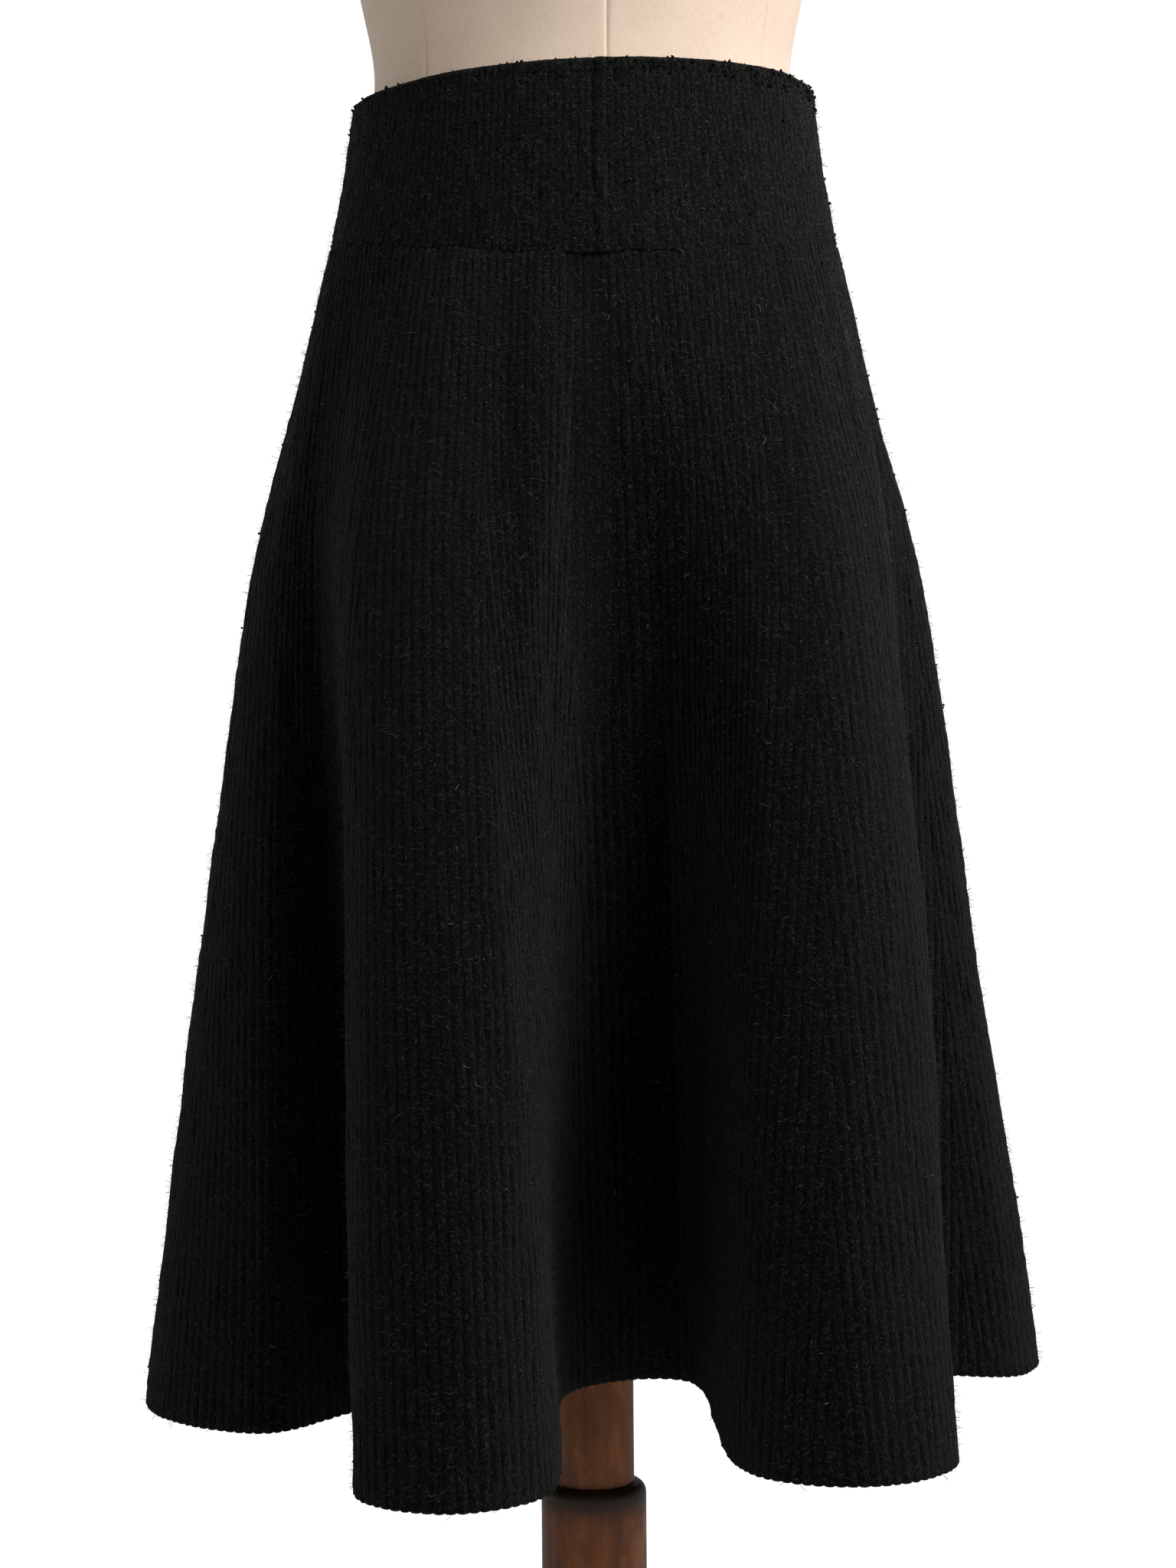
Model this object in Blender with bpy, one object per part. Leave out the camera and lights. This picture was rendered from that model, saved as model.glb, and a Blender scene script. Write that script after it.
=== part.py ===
"""A ribbed knit A-line skirt with a deep waistband, on a linen dress form with a turned wooden stand.

Metres, +Z up. The front faces -Y, and +X is to the right as the front is seen.
The origin is on the floor, under the middle of the whole part's box.
"""

import math
from collections import namedtuple

import bpy
import numpy as np

# Cloth
WALL = 0.0022  # the knit without its ribs
RIB = 0.0008  # how far a rib stands out of the wall
SEAM_GAP = 0.0003  # between pieces that meet
BAND_RIBS = 192

# Heights
TOP_FRONT = 1.0175  # the waistband's upper edge
TOP_TILT = 0.0045  # the right end of that edge is this much higher than its middle
SEAM_FRONT = 0.9170  # the seam under the waistband, which dips at the front and the back
SEAM_SIDE = 0.9390
SEAM_BACK = 0.9290
HEM = 0.3255

# The gores that the ribs run in. Each gains ribs at its edges on the way down.
GORES = 16
INNER_PER_GORE = 12

# Plan of the garment around the form's axis, outside the cloth, at shares of the way from seam to hem.
# ribs is how many a gore has there, and fold is how far the hem's folds have grown.
Section = namedtuple("Section", "drop half_width half_front half_back ribs fold")
SECTIONS = (
    Section(0.00, 0.1380, 0.1125, 0.1080, 12, 0.00),
    Section(0.12, 0.1565, 0.1370, 0.1300, 12, 0.07),
    Section(0.28, 0.1820, 0.1640, 0.1560, 14, 0.24),
    Section(0.50, 0.2010, 0.1900, 0.1800, 18, 0.48),
    Section(0.75, 0.2190, 0.2100, 0.2000, 22, 0.75),
    Section(1.00, 0.2350, 0.2250, 0.2180, 26, 1.00),
)
BandSection = namedtuple("BandSection", "drop half_width half_front half_back")
BAND_SECTIONS = (
    BandSection(0.0, 0.1250, 0.0985, 0.0960),
    BandSection(0.5, 0.1305, 0.1050, 0.1015),
    BandSection(1.0, 0.1380, 0.1125, 0.1080),
)

# The folds round the hem, each with the valley on its right. Bearings are in degrees from the front, and
# positive to the right. reach is measured from the form's axis, width is across, and facing is the way that a
# crest looks. Its shoulders lie back from its middle by shoulder, and the hem hangs higher in a valley by lift.
Fold = namedtuple(
    "Fold", "bearing reach width facing shoulder valley_bearing valley_reach valley_width lift"
)
FOLDS = (
    Fold(-68.5, 0.2340, 0.122, -51.0, 0.024, -51.0, 0.136, 0.016, 0.004),
    Fold(-13.0, 0.2780, 0.084, 4.0, 0.025, 19.0, 0.062, 0.058, 0.010),
    Fold(28.5, 0.2620, 0.100, 6.0, 0.030, 76.0, 0.168, 0.030, 0.006),
    Fold(99.0, 0.2490, 0.072, 98.0, 0.020, 124.0, 0.188, 0.036, 0.004),
    Fold(146.0, 0.2560, 0.090, 152.0, 0.027, 167.0, 0.158, 0.040, 0.008),
    Fold(190.0, 0.2640, 0.096, 184.0, 0.029, 214.0, 0.172, 0.036, 0.006),
    Fold(234.0, 0.2480, 0.086, 238.0, 0.025, 257.0, 0.216, 0.030, 0.003),
)
MATCH_FOLD = 1  # the left shoulder of this fold hangs from the waist at MATCH_BEARING
MATCH_BEARING = -38.0

# Dress form: half sizes at heights
FormSection = namedtuple("FormSection", "height half_width half_front half_back")
FORM_SECTIONS = (
    FormSection(0.770, 0.1380, 0.0960, 0.0980),
    FormSection(0.780, 0.1450, 0.1030, 0.1050),
    FormSection(0.820, 0.1500, 0.1090, 0.1080),
    FormSection(0.870, 0.1465, 0.1100, 0.1070),
    FormSection(0.938, 0.1335, 0.1045, 0.1015),
    FormSection(0.985, 0.1195, 0.0940, 0.0910),
    FormSection(1.030, 0.1130, 0.0870, 0.0850),
    FormSection(1.080, 0.1210, 0.0940, 0.0880),
    FormSection(1.160, 0.1400, 0.1150, 0.0960),
    FormSection(1.230, 0.1500, 0.1130, 0.1000),
    FormSection(1.300, 0.1600, 0.0900, 0.0920),
    FormSection(1.335, 0.1480, 0.0740, 0.0780),
    FormSection(1.362, 0.0950, 0.0620, 0.0650),
    FormSection(1.380, 0.0620, 0.0550, 0.0570),
    FormSection(1.420, 0.0540, 0.0500, 0.0520),
)
FORM_POINTS = 40
FORM_RINGS = 22

# Stand
SHAFT_RADIUS = 0.0220
COLUMN_RADIUS = 0.0285
COLUMN_TOP = 0.2700
COLUMN_EDGE = 0.0060
BASE_RADIUS = 0.1750
BASE_HEIGHT = 0.0280
BASE_ROUND = 0.0080
BASE_LOWER_EDGE = 0.0030
CAP_HEIGHT = 0.0220
CAP_ROUND = 0.0080
TURNED_POINTS = 32


def seam_height(bearing):
    """The height of the seam under the waistband, at bearings in radians."""
    dip = np.where(np.cos(bearing) > 0, SEAM_SIDE - SEAM_FRONT, SEAM_SIDE - SEAM_BACK)
    return SEAM_SIDE - dip * np.cos(bearing) ** 2


def top_height(bearing):
    return TOP_FRONT + TOP_TILT * np.sin(bearing)


def oval(bearing, half_width, half_front, half_back):
    """Points of an oval whose front half and back half have depths of their own."""
    depth = np.where(np.cos(bearing) > 0, half_front, half_back)
    return np.stack([half_width * np.sin(bearing), -depth * np.cos(bearing)], axis=1)


def closed_lengths(points):
    """The lengths along a closed outline, from its first point back to it."""
    steps = np.linalg.norm(np.roll(points, -1, axis=0) - points, axis=1)
    return np.concatenate([[0.0], np.cumsum(steps)])


def even_bearings(count=2880):
    """Bearings that are evenly spaced along the waist seam, from the middle of the back round by the left."""
    bearing = np.linspace(-math.pi, math.pi, count, endpoint=False)
    seam = SECTIONS[0]
    along = closed_lengths(oval(bearing, seam.half_width, seam.half_front, seam.half_back))
    share = np.linspace(0.0, along[-1], count + 1)
    return np.interp(share, along, np.append(bearing, math.pi))


def place(bearing_degrees, reach):
    turn = math.radians(bearing_degrees)
    return np.array([math.sin(turn), -math.cos(turn)]) * reach


def hem_controls():
    """The points that each fold's row gives, with the lift of each as a third number."""
    points = []
    for fold in FOLDS:
        middle = place(fold.bearing, fold.reach)
        facing = math.radians(fold.facing)
        outward = np.array([math.sin(facing), -math.cos(facing)])
        across = np.array([math.cos(facing), math.sin(facing)])
        for side in (-0.5, 0.0, 0.5):
            back = abs(side) * 2 * fold.shoulder
            points.append([*(middle + side * fold.width * across - back * outward), 0.0])
        valley = place(fold.valley_bearing, fold.valley_reach)
        turn = math.radians(fold.valley_bearing)
        across = np.array([math.cos(turn), math.sin(turn)])
        for side in (-0.5, 0.5):
            points.append([*(valley + side * fold.valley_width * across), fold.lift])
    return np.array(points)


def smooth_closed(controls, per_span=24):
    """A smooth closed curve through the points, by a centripetal Catmull-Rom spline."""
    count = len(controls)
    curve = []
    for i in range(count):
        p0, p1, p2, p3 = (controls[(i + k) % count] for k in (-1, 0, 1, 2))
        k1 = math.sqrt(np.linalg.norm(p1 - p0))
        k2 = k1 + math.sqrt(np.linalg.norm(p2 - p1))
        k3 = k2 + math.sqrt(np.linalg.norm(p3 - p2))
        for k in np.linspace(k1, k2, per_span, endpoint=False):
            a1 = (k1 - k) / k1 * p0 + k / k1 * p1
            a2 = (k2 - k) / (k2 - k1) * p1 + (k - k1) / (k2 - k1) * p2
            a3 = (k3 - k) / (k3 - k2) * p2 + (k - k2) / (k3 - k2) * p3
            b1 = (k2 - k) / k2 * a1 + k / k2 * a2
            b2 = (k3 - k) / (k3 - k1) * a2 + (k - k1) / (k3 - k1) * a3
            curve.append((k2 - k) / (k2 - k1) * b1 + (k - k1) / (k2 - k1) * b2)
    return np.array(curve)


def even_hem(count=2880):
    """The hem's outline with evenly spaced points, each below the waist point of the same place."""
    per_span = 24
    curve = smooth_closed(hem_controls(), per_span)
    along = closed_lengths(curve[:, :2])
    closed = np.vstack([curve, curve[:1]])
    matched = along[MATCH_FOLD * 5 * per_span]
    waist = np.interp(math.radians(MATCH_BEARING), EVEN_BEARINGS, np.linspace(0.0, 1.0, len(EVEN_BEARINGS)))
    share = np.linspace(0.0, 1.0, count + 1)[:-1]
    at = (matched + (share - waist) * along[-1]) % along[-1]
    return np.stack([np.interp(at, along, closed[:, k]) for k in range(3)], axis=1)


EVEN_BEARINGS = even_bearings()
EVEN_HEM = even_hem()


def bearing_of(share):
    return np.interp(share % 1.0, np.linspace(0.0, 1.0, len(EVEN_BEARINGS)), EVEN_BEARINGS)


def hem_of(share):
    steps = np.linspace(0.0, 1.0, len(EVEN_HEM) + 1)
    closed = np.vstack([EVEN_HEM, EVEN_HEM[:1]])
    return np.stack([np.interp(share % 1.0, steps, closed[:, k]) for k in range(3)], axis=1)


def body_outline(share, section):
    """Plan points outside the skirt's body, at shares of the way round, and their heights."""
    bearing = bearing_of(share)
    last = SECTIONS[-1]
    hem = hem_of(share)
    fold = hem[:, :2] - oval(bearing, last.half_width, last.half_front, last.half_back)
    plan = oval(bearing, section.half_width, section.half_front, section.half_back) + section.fold * fold
    top = seam_height(bearing) - SEAM_GAP / 2
    height = top + (HEM + hem[:, 2] - top) * section.drop
    return plan, height


def band_outline(share, section):
    bearing = bearing_of(share)
    plan = oval(bearing, section.half_width, section.half_front, section.half_back)
    top = top_height(bearing)
    height = top + (seam_height(bearing) + SEAM_GAP / 2 - top) * section.drop
    return plan, height


def wall_points(outline, section, share, raised):
    """Points on the outline moved out to the ribs or in by the wall, square to the cloth as seen from above."""
    step = 0.0015
    before, _ = outline(share - step, section)
    after, _ = outline(share + step, section)
    along = after - before
    along /= np.linalg.norm(along, axis=1, keepdims=True)
    outward = np.stack([along[:, 1], -along[:, 0]], axis=1)
    plan, height = outline(share, section)
    plan = plan + outward * (np.asarray(raised) - RIB)[:, None]
    return np.column_stack([plan + MIDDLE, height])


def rib_row(first, last, ribs):
    """Places across some gores: the valleys and tops of their ribs, and a number that matches ribs between rows."""
    share, raised, match = [], [], []
    for gore in range(first, last):
        start = 0 if gore == first else 1
        for i in range(start, 2 * ribs + 1):
            share.append((gore + i / (2 * ribs)) / GORES)
            raised.append(RIB * (i % 2))
            match.append(gore * 1000 + i / 2 - ribs / 2)
    return np.array(share), np.array(raised), np.array(match)


def narrowed(share, room):
    """The same places, with the two ends moved in by room."""
    share = share.copy()
    share[0] += room
    share[-1] -= room
    return share


def zip_rows(lower, upper):
    """Triangles between two rows of (index, match) pairs that run the same way."""
    faces = []
    i, j = 0, 0
    while i < len(lower) - 1 or j < len(upper) - 1:
        go_lower = j == len(upper) - 1 or (i < len(lower) - 1 and lower[i + 1][1] <= upper[j + 1][1])
        if go_lower:
            faces.append((lower[i][0], lower[i + 1][0], upper[j][0]))
            i += 1
        else:
            faces.append((lower[i][0], upper[j + 1][0], upper[j][0]))
            j += 1
    return faces


def ribbed_wall(name, outline, sections, rib_counts, first, last, material):
    """A closed wall across some gores, ribbed outside and plain inside."""
    points, faces = [], []
    outer, inner = [], []
    inner_share = np.linspace(first / GORES, last / GORES, INNER_PER_GORE * (last - first) + 1)
    for section, ribs in zip(sections, rib_counts):
        share, raised, match = rib_row(first, last, ribs)
        plan, _ = outline(share, section)
        room = SEAM_GAP / 2 / np.linalg.norm(np.diff(plan, axis=0), axis=1).sum() * (last - first) / GORES
        place_of = narrowed(share, room)
        new = wall_points(outline, section, place_of, raised)
        outer.append([(len(points) + k, match[k], place_of[k]) for k in range(len(new))])
        points.extend(new)
        place_of = narrowed(inner_share, room)
        new = wall_points(outline, section, place_of, np.full(len(place_of), -WALL))
        inner.append([(len(points) + k, place_of[k], place_of[k]) for k in range(len(new))])
        points.extend(new)
    for above, below in zip(outer, outer[1:]):
        faces += zip_rows(below, above)
    for above, below in zip(inner, inner[1:]):
        faces += zip_rows(above, below)
    by_place = [[(p[0], p[2]) for p in row] for row in (outer[0], inner[0], outer[-1], inner[-1])]
    faces += zip_rows(by_place[0], by_place[1])
    faces += zip_rows(by_place[3], by_place[2])
    for k in range(len(outer) - 1):
        a, b, c, d = outer[k + 1][0][0], outer[k][0][0], inner[k][0][0], inner[k + 1][0][0]
        faces += [(a, b, c), (a, c, d)]
        a, b, c, d = outer[k + 1][-1][0], outer[k][-1][0], inner[k][-1][0], inner[k + 1][-1][0]
        faces += [(a, c, b), (a, d, c)]
    return mesh_object(name, points, faces, material)


def mesh_object(name, points, faces, material):
    mesh = bpy.data.meshes.new(name)
    mesh.from_pydata([tuple(p) for p in points], [], faces)
    mesh.materials.append(material)
    mesh.shade_smooth()
    mesh.set_sharp_from_angle(angle=math.radians(35))
    thing = bpy.data.objects.new(name, mesh)
    bpy.context.scene.collection.objects.link(thing)
    return thing


def lofted(name, rings, material):
    """A closed solid through rings of equally many points, from the lowest to the highest."""
    count = len(rings[0])
    points = [p for ring in rings for p in ring]
    faces = [tuple(reversed(range(count)))]
    for r in range(len(rings) - 1):
        for k in range(count):
            a, b = r * count + k, r * count + (k + 1) % count
            faces.append((a, b, b + count, a + count))
    faces.append(tuple(range((len(rings) - 1) * count, len(rings) * count)))
    return mesh_object(name, points, faces, material)


def turned(name, profile, material):
    """A solid of revolution on the form's axis. Its profile is (radius, height) pairs from bottom to top."""
    turn = np.linspace(0.0, 2 * math.pi, TURNED_POINTS, endpoint=False)
    rings = []
    for radius, height in profile:
        plan = np.stack([np.cos(turn), np.sin(turn)], axis=1) * radius + MIDDLE
        rings.append(np.column_stack([plan, np.full(len(turn), height)]))
    return lofted(name, rings, material)


def rounded(radius, height, edge, steps=4, rising=True):
    """A quarter round at the rim of a disc, as (radius, height) pairs from bottom to top."""
    pairs = []
    for k in range(steps + 1):
        turn = math.pi / 2 * k / steps
        if rising:
            pairs.append((radius - edge + edge * math.cos(turn), height - edge + edge * math.sin(turn)))
        else:
            pairs.append((radius - edge + edge * math.sin(turn), height + edge - edge * math.cos(turn)))
    return pairs


def eased(heights, table, column):
    """A smooth curve through a column of the form's table, with monotone tangents."""
    x = np.array([row.height for row in table])
    y = np.array([getattr(row, column) for row in table])
    slope = np.diff(y) / np.diff(x)
    tangent = np.zeros(len(x))
    for i in range(1, len(x) - 1):
        if slope[i - 1] * slope[i] > 0:
            tangent[i] = 2 * slope[i - 1] * slope[i] / (slope[i - 1] + slope[i])
    tangent[0], tangent[-1] = slope[0], slope[-1]
    i = np.clip(np.searchsorted(x, heights, side="right") - 1, 0, len(x) - 2)
    step = x[i + 1] - x[i]
    t = (heights - x[i]) / step
    return (
        (2 * t**3 - 3 * t**2 + 1) * y[i]
        + (t**3 - 2 * t**2 + t) * step * tangent[i]
        + (3 * t**2 - 2 * t**3) * y[i + 1]
        + (t**3 - t**2) * step * tangent[i + 1]
    )


def form_torso(material):
    heights = np.union1d(
        np.linspace(FORM_SECTIONS[0].height, FORM_SECTIONS[-1].height, FORM_RINGS),
        [row.height for row in FORM_SECTIONS[:2]],
    )
    bearing = np.linspace(0.0, 2 * math.pi, FORM_POINTS, endpoint=False)
    rings = []
    for height in heights:
        sizes = [eased(height, FORM_SECTIONS, c) for c in ("half_width", "half_front", "half_back")]
        plan = oval(bearing, *sizes) + MIDDLE
        rings.append(np.column_stack([plan, np.full(len(bearing), height)]))
    return lofted("form_torso", rings, material)


def form_cap(material):
    low = FORM_SECTIONS[-1].height + SEAM_GAP
    radius = FORM_SECTIONS[-1].half_front
    return turned("form_cap", [(radius, low), *rounded(radius, low + CAP_HEIGHT, CAP_ROUND)], material)


def stand(material):
    turned(
        "stand_base",
        [*rounded(BASE_RADIUS, 0.0, BASE_LOWER_EDGE, 2, False), *rounded(BASE_RADIUS, BASE_HEIGHT, BASE_ROUND)],
        material,
    )
    low = BASE_HEIGHT + SEAM_GAP
    turned(
        "stand_column",
        [(COLUMN_RADIUS, low), *rounded(COLUMN_RADIUS, COLUMN_TOP, COLUMN_EDGE)],
        material,
    )
    low = COLUMN_TOP + SEAM_GAP
    turned("stand_shaft", [(SHAFT_RADIUS, low), (SHAFT_RADIUS, FORM_SECTIONS[0].height - SEAM_GAP)], material)


def material_of(name, colour, roughness):
    material = bpy.data.materials.new(name)
    material.use_nodes = True
    shader = material.node_tree.nodes["Principled BSDF"]
    shader.inputs["Base Color"].default_value = (*colour, 1.0)
    shader.inputs["Roughness"].default_value = roughness
    shader.inputs["Metallic"].default_value = 0.0
    return material


def middle_of_hem():
    """Moves the axis so that the whole part's box is centred on the origin."""
    plan = EVEN_HEM[:, :2]
    return -(plan.max(axis=0) + plan.min(axis=0)) / 2


MIDDLE = middle_of_hem()


def main():
    for thing in list(bpy.data.objects):
        bpy.data.objects.remove(thing, do_unlink=True)
    knit = material_of("black_knit", (0.012, 0.012, 0.013), 0.95)
    linen = material_of("beige_linen", (0.62, 0.50, 0.38), 0.90)
    wood = material_of("brown_wood", (0.20, 0.11, 0.06), 0.45)
    body_ribs = [section.ribs for section in SECTIONS]
    quarter = GORES // 4
    ribbed_wall("skirt_front", body_outline, SECTIONS, body_ribs, quarter, 3 * quarter, knit)
    ribbed_wall("skirt_back", body_outline, SECTIONS, body_ribs, 3 * quarter, 5 * quarter, knit)
    band_ribs = [BAND_RIBS // GORES] * len(BAND_SECTIONS)
    ribbed_wall("waistband", band_outline, BAND_SECTIONS, band_ribs, 2 * quarter, 6 * quarter, knit)
    form_torso(linen)
    form_cap(wood)
    stand(wood)


main()
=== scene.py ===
"""The looks of a dark rib-knit A-line skirt on a linen dress form with a turned wooden stand.

Metres, +Z up. The front faces -Y, and +X is to the right as the front is seen.
The forms follow the same rules and values as the solids, and add ribs, seams, felt, creases and wear.
"""

import math
from collections import namedtuple

import bpy
import numpy as np
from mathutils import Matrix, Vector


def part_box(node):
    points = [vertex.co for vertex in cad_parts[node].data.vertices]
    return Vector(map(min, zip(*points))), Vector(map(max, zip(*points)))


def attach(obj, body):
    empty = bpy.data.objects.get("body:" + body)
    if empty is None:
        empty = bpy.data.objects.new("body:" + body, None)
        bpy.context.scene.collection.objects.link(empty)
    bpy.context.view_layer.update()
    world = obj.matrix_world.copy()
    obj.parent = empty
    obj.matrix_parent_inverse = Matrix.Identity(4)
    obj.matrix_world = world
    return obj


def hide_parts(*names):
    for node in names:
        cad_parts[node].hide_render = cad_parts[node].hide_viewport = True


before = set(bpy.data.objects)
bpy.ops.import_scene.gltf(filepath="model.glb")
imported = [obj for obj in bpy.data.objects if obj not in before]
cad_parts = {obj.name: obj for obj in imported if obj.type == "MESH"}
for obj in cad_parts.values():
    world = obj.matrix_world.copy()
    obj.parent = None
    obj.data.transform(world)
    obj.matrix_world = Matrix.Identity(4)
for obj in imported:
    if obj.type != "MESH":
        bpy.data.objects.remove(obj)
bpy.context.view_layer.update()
LOW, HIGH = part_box("stand_base")
MIDDLE = np.array([(LOW.x + HIGH.x) / 2, (LOW.y + HIGH.y) / 2])

# Cloth, in metres
WALL = 0.0022
RIB = 0.0008
SEAM_GAP = 0.0003
SEAM_LINE = 0.0001  # between the band and the body, where the felt has closed the seam
BAND_OVERLAP = 0.0008  # of the band's two ends at its upright seam
TOP_FRONT = 1.0175
TOP_TILT = 0.0045
SEAM_FRONT = 0.9170
SEAM_SIDE = 0.9390
SEAM_BACK = 0.9290
HEM = 0.3255
BODY_LENGTH = 0.6
BAND_HEIGHT = 0.09
GORES = 16
BODY_RELIEF = 0.00085
BAND_RELIEF = 0.00055
RIB_ROUNDNESS = 0.55
RIB_WANDER = 0.035  # in rib widths
ACROSS_RIB = (0.0, 0.2, 0.5, 0.8)  # where a rib has points, from one groove to the next
LARGEST_FACE = 0.00002  # on the outer side, in square metres
BODY_ROWS = 138
BAND_ROWS = 36
INNER_ROWS = 26
INNER_PER_GORE = 12
SEAM_ROW = 0.0035  # the row next to a seam, as a share of the way down
BAND_SEAM_SHIFT = 0.0072  # the band's seam lies this share of the girth right of the front's middle
CURL = 0.0003  # how far an edge turns in at a seam
CURL_LENGTH = 0.0017
RIM_TURN = 0.0026  # how far an open edge turns in
RIMS = (0.35, 0.75, 1.0)  # the rows of that turn, as shares of it
HEM_ROLL = 0.0014  # how far the turn bulges past the edge
TOP_ROLL = 0.0012
MAP_GORE = 64.0  # the width of a gore in the knit's UV map, in ribs
INNER_MAP = 220.0  # ribs in a metre of the plain side's UV map

# drop is the share of the way down, ribs their count in a gore, and fold the share of the hem's folds there
Section = namedtuple("Section", "drop half_width half_front half_back ribs fold")
SECTIONS = (
    Section(0.00, 0.1380, 0.1125, 0.1080, 12, 0.00),
    Section(0.12, 0.1565, 0.1370, 0.1300, 12, 0.07),
    Section(0.28, 0.1820, 0.1640, 0.1560, 14, 0.24),
    Section(0.50, 0.2010, 0.1900, 0.1800, 18, 0.48),
    Section(0.75, 0.2190, 0.2100, 0.2000, 22, 0.75),
    Section(1.00, 0.2350, 0.2250, 0.2180, 26, 1.00),
)
BAND_SECTIONS = (
    Section(0.0, 0.1250, 0.0985, 0.0960, 12, 0.0),
    Section(0.5, 0.1305, 0.1050, 0.1015, 12, 0.0),
    Section(1.0, 0.1380, 0.1125, 0.1080, 12, 0.0),
)

# A fold and the valley after it, with bearings in degrees from the front towards +X
Fold = namedtuple(
    "Fold", "bearing reach width facing shoulder valley_bearing valley_reach valley_width lift"
)
FOLDS = (
    Fold(-68.5, 0.2340, 0.122, -51.0, 0.024, -51.0, 0.136, 0.016, 0.004),
    Fold(-13.0, 0.2780, 0.084, 4.0, 0.025, 19.0, 0.062, 0.058, 0.010),
    Fold(28.5, 0.2620, 0.100, 6.0, 0.030, 76.0, 0.168, 0.030, 0.006),
    Fold(99.0, 0.2490, 0.072, 98.0, 0.020, 124.0, 0.188, 0.036, 0.004),
    Fold(146.0, 0.2560, 0.090, 152.0, 0.027, 167.0, 0.158, 0.040, 0.008),
    Fold(190.0, 0.2640, 0.096, 184.0, 0.029, 214.0, 0.172, 0.036, 0.006),
    Fold(234.0, 0.2480, 0.086, 238.0, 0.025, 257.0, 0.216, 0.030, 0.003),
)
MATCH_FOLD = 1  # this fold hangs from the bearing below
MATCH_BEARING = -38.0
CONTROLS_PER_FOLD = 5
SPAN_POINTS = 24  # points of the hem's curve from one control to the next

# Soft troughs and ridges. share is the way round from the back's middle, drop the way down, and lean the
# change of share over the whole drop. width and length are in metres, and a positive depth is a ridge.
Crease = namedtuple("Crease", "share drop lean width length depth")
CREASES = (
    Crease(0.452, 0.10, -0.050, 0.0100, 0.075, -0.0022),
    Crease(0.506, 0.24, 0.020, 0.0150, 0.130, -0.0062),
    Crease(0.470, 0.27, -0.030, 0.0150, 0.140, 0.0040),
    Crease(0.722, 0.46, 0.000, 0.0170, 0.170, -0.0085),
    Crease(0.676, 0.46, -0.030, 0.0150, 0.180, 0.0050),
    Crease(0.318, 0.58, -0.010, 0.0160, 0.150, -0.0060),
    Crease(0.368, 0.56, 0.020, 0.0150, 0.160, 0.0036),
    Crease(0.548, 0.09, 0.060, 0.0090, 0.060, -0.0018),
    Crease(0.395, 0.20, -0.030, 0.0160, 0.110, -0.0024),
    Crease(0.610, 0.22, 0.020, 0.0150, 0.110, -0.0022),
    Crease(0.330, 0.14, -0.020, 0.0120, 0.070, -0.0018),
    Crease(0.675, 0.12, 0.030, 0.0110, 0.075, -0.0018),
    Crease(0.430, 0.56, 0.010, 0.0110, 0.120, 0.0020),
    Crease(0.570, 0.62, -0.010, 0.0120, 0.130, 0.0020),
    Crease(0.300, 0.60, 0.000, 0.0150, 0.110, -0.0022),
    Crease(0.705, 0.50, 0.010, 0.0120, 0.120, -0.0020),
    Crease(0.080, 0.12, 0.030, 0.0110, 0.080, -0.0020),
    Crease(0.160, 0.18, -0.020, 0.0140, 0.100, -0.0022),
    Crease(0.925, 0.10, -0.030, 0.0100, 0.070, -0.0020),
    Crease(0.850, 0.20, 0.020, 0.0150, 0.110, -0.0024),
    Crease(0.010, 0.58, 0.010, 0.0130, 0.120, 0.0020),
    Crease(0.120, 0.66, -0.010, 0.0120, 0.110, -0.0018),
    Crease(0.890, 0.62, 0.010, 0.0130, 0.120, 0.0018),
)

# Dress form: half sizes at heights
FormSection = namedtuple("FormSection", "height half_width half_front half_back")
FORM_SECTIONS = (
    FormSection(0.770, 0.1380, 0.0960, 0.0980),
    FormSection(0.780, 0.1450, 0.1030, 0.1050),
    FormSection(0.820, 0.1500, 0.1090, 0.1080),
    FormSection(0.870, 0.1465, 0.1100, 0.1070),
    FormSection(0.938, 0.1335, 0.1045, 0.1015),
    FormSection(0.985, 0.1195, 0.0940, 0.0910),
    FormSection(1.030, 0.1130, 0.0870, 0.0850),
    FormSection(1.080, 0.1210, 0.0940, 0.0880),
    FormSection(1.160, 0.1400, 0.1150, 0.0960),
    FormSection(1.230, 0.1500, 0.1130, 0.1000),
    FormSection(1.300, 0.1600, 0.0900, 0.0920),
    FormSection(1.335, 0.1480, 0.0740, 0.0780),
    FormSection(1.362, 0.0950, 0.0620, 0.0650),
    FormSection(1.380, 0.0620, 0.0550, 0.0570),
    FormSection(1.420, 0.0540, 0.0500, 0.0520),
)
FORM_SEAMS = (6.5, -46.0, 57.0, 92.0, 137.0, 180.0, 223.0, 268.0)  # bearings in degrees
FORM_SEAM_DEPTH = 0.0006
FORM_RADIUS = 0.12  # turns bearings into lengths round the form
FORM_ROWS = 110
FORM_COLUMNS = 112
FORM_EDGE_ROWS = (0.0008, 0.002, 0.004, 0.007)  # more rows above the form's lower edge
FORM_SEAM_COLUMNS = (-0.006, -0.0028, -0.0014, -0.0007, 0.0, 0.0007, 0.0014, 0.0028, 0.006)

# Stand
SHAFT_RADIUS = 0.0220
COLUMN_RADIUS = 0.0285
COLUMN_TOP = 0.2700
COLUMN_EDGE = 0.0060
COLUMN_SIDE = 0.2360  # the height of its straight side
BASE_RADIUS = 0.1750
BASE_HEIGHT = 0.0280
BASE_EDGE = 0.0080
BASE_LOWER_EDGE = 0.0030
CAP_HEIGHT = 0.0220
CAP_EDGE = 0.0080

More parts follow.
